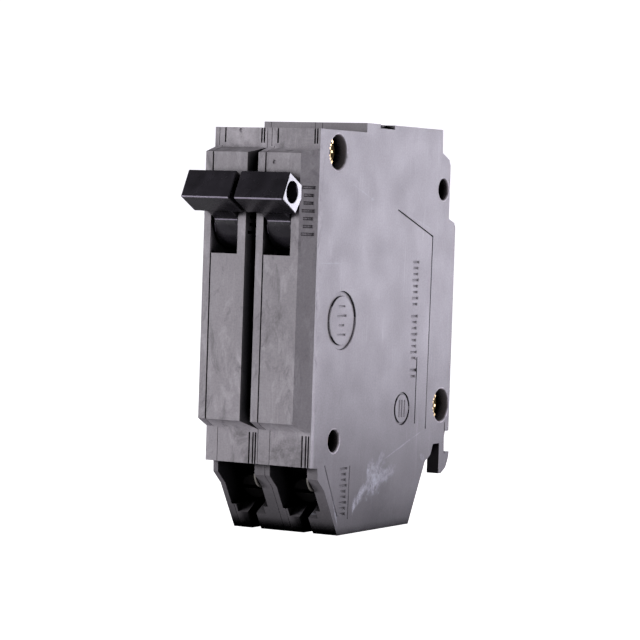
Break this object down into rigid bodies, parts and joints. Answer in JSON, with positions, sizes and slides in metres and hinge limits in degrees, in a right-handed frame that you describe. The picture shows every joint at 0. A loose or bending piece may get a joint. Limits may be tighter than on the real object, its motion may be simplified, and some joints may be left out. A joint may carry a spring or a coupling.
{
  "type": "two-pole plug-in circuit breaker",
  "caption": "Narrow grey moulded plug-in circuit breaker with paired black toggles tied by a pin, slanted wire terminals and hooked rear feet.",
  "frame": {"origin": "middle of the footprint at the flat bottom of the case", "axes": "+X across the poles, +Y from the toggles to the panel, +Z from the wire terminals to the top end"},
  "size_m": [0.0259, 0.0755, 0.087],
  "materials": {
    "moulding": "satin moulded thermoset",
    "toggle": "satin",
    "copper": "bright copper",
    "plated_copper": "tin plated",
    "steel": "satin",
    "terminal_steel": "zinc plated",
    "spring_steel": "drawn wire",
    "contact_silver": "satin",
    "fibre": "vulcanised fibre",
    "bimetal": "rolled",
    "braid": "woven copper",
    "brass": "bright",
    "nylon": "satin"
  },
  "bodies": {
    "case": {"case_base_left": "moulding", "case_cover_left": "moulding", "fixed_contact_left": "contact_silver", "line_strap_left": "copper", "line_jaw_left": "plated_copper", "arc_chute_left": "fibre", "cradle_pin_left": "steel", "bimetal_left": "bimetal", "magnet_yoke_left": "steel", "flexible_braid_left": "braid", "load_strap_left": "plated_copper", "calibration_screw_left": "brass", "case_base_right": "moulding", "case_cover_right": "moulding", "fixed_contact_right": "contact_silver", "line_strap_right": "copper", "line_jaw_right": "plated_copper", "arc_chute_right": "fibre", "cradle_pin_right": "steel", "bimetal_right": "bimetal", "magnet_yoke_right": "steel", "flexible_braid_right": "braid", "load_strap_right": "plated_copper", "calibration_screw_right": "brass", "rivet_top_front": "brass", "rivet_top_back": "brass", "rivet_bottom_back": "brass", "rivet_bottom_front": "brass"},
    "toggles": {"toggle_left": "toggle", "toggle_right": "toggle", "toggle_tie_pin": "steel", "contact_arm_pin_left": "steel", "contact_arm_pin_right": "steel"},
    "contact_arm_left": {"contact_arm_left": "copper", "moving_contact_left": "contact_silver", "toggle_spring_left": "spring_steel"},
    "cradle_left": {"trip_cradle_left": "steel"},
    "armature_left": {"armature_left": "steel"},
    "clamp_left": {"wire_clamp_left": "terminal_steel"},
    "screw_left": {"terminal_screw_left": "terminal_steel"},
    "contact_arm_right": {"contact_arm_right": "copper", "moving_contact_right": "contact_silver", "toggle_spring_right": "spring_steel"},
    "cradle_right": {"trip_cradle_right": "steel"},
    "armature_right": {"armature_right": "steel"},
    "clamp_right": {"wire_clamp_right": "terminal_steel"},
    "screw_right": {"terminal_screw_right": "terminal_steel"},
    "trip_bar": {"common_trip_bar": "nylon"}
  },
  "joints": [
    {"name": "toggle_throw", "type": "hinge", "parent": "case", "child": "toggles", "pos_m": [0, -0.0224, 0.0659], "axis": [1, 0, 0], "range_deg": [0, 50]},
    {"name": "contact_arm_left_swing", "type": "hinge", "parent": "toggles", "child": "contact_arm_left", "pos_m": [-0.00765, -0.01777, 0.06354], "axis": [1, 0, 0], "range_deg": [-66, 0], "deforming": ["toggle_spring_left", "flexible_braid_left"]},
    {"name": "contact_arm_right_swing", "type": "hinge", "parent": "toggles", "child": "contact_arm_right", "pos_m": [0.00505, -0.01777, 0.06354], "axis": [1, 0, 0], "range_deg": [-66, 0], "deforming": ["toggle_spring_right", "flexible_braid_right"]},
    {"name": "cradle_right_trip", "type": "hinge", "parent": "case", "child": "cradle_right", "pos_m": [0.0095, 0.0142, 0.068], "axis": [1, 0, 0], "range_deg": [0, 12]},
    {"name": "cradle_left_trip", "type": "hinge", "parent": "case", "child": "cradle_left", "pos_m": [-0.0032, 0.0142, 0.068], "axis": [1, 0, 0], "range_deg": [0, 12]},
    {"name": "armature_left_pull", "type": "hinge", "parent": "case", "child": "armature_left", "pos_m": [-0.00635, -0.0085, 0.03], "axis": [1, 0, 0], "range_deg": [0, 2.4]},
    {"name": "armature_right_pull", "type": "hinge", "parent": "case", "child": "armature_right", "pos_m": [0.00635, -0.0085, 0.03], "axis": [1, 0, 0], "range_deg": [0, 2.4]},
    {"name": "trip_bar_turn", "type": "hinge", "parent": "case", "child": "trip_bar", "pos_m": [0, -0.0033, 0.047], "axis": [1, 0, 0], "range_deg": [0, 9.6]},
    {"name": "wire_clamp_left_slide", "type": "slide", "parent": "case", "child": "clamp_left", "axis": [0, 0.8453, 0.5342], "range_m": [-0.0024, 0.0008]},
    {"name": "terminal_screw_left_turn", "type": "hinge", "parent": "clamp_left", "child": "screw_left", "pos_m": [-0.007, -0.01785, 0.00712], "axis": [0, 0.8453, 0.5342], "range_deg": [-1085, 362]},
    {"name": "wire_clamp_right_slide", "type": "slide", "parent": "case", "child": "clamp_right", "axis": [0, 0.8453, 0.5342], "range_m": [-0.0024, 0.0008]},
    {"name": "terminal_screw_right_turn", "type": "hinge", "parent": "clamp_right", "child": "screw_right", "pos_m": [0.0057, -0.01785, 0.00712], "axis": [0, 0.8453, 0.5342], "range_deg": [-1085, 362]}
  ],
  "couplings": [
    {"joint": "contact_arm_left_swing", "follows": "toggle_throw", "ratio": -1.32},
    {"joint": "contact_arm_right_swing", "follows": "toggle_throw", "ratio": -1.32},
    {"joint": "cradle_left_trip", "follows": "cradle_right_trip", "ratio": 1},
    {"joint": "armature_left_pull", "follows": "cradle_right_trip", "ratio": 0.2},
    {"joint": "armature_right_pull", "follows": "cradle_right_trip", "ratio": 0.2},
    {"joint": "trip_bar_turn", "follows": "cradle_right_trip", "ratio": 0.8},
    {"joint": "terminal_screw_left_turn", "follows": "wire_clamp_left_slide", "rad_per_m": 7874},
    {"joint": "terminal_screw_right_turn", "follows": "wire_clamp_right_slide", "rad_per_m": 7874}
  ]
}
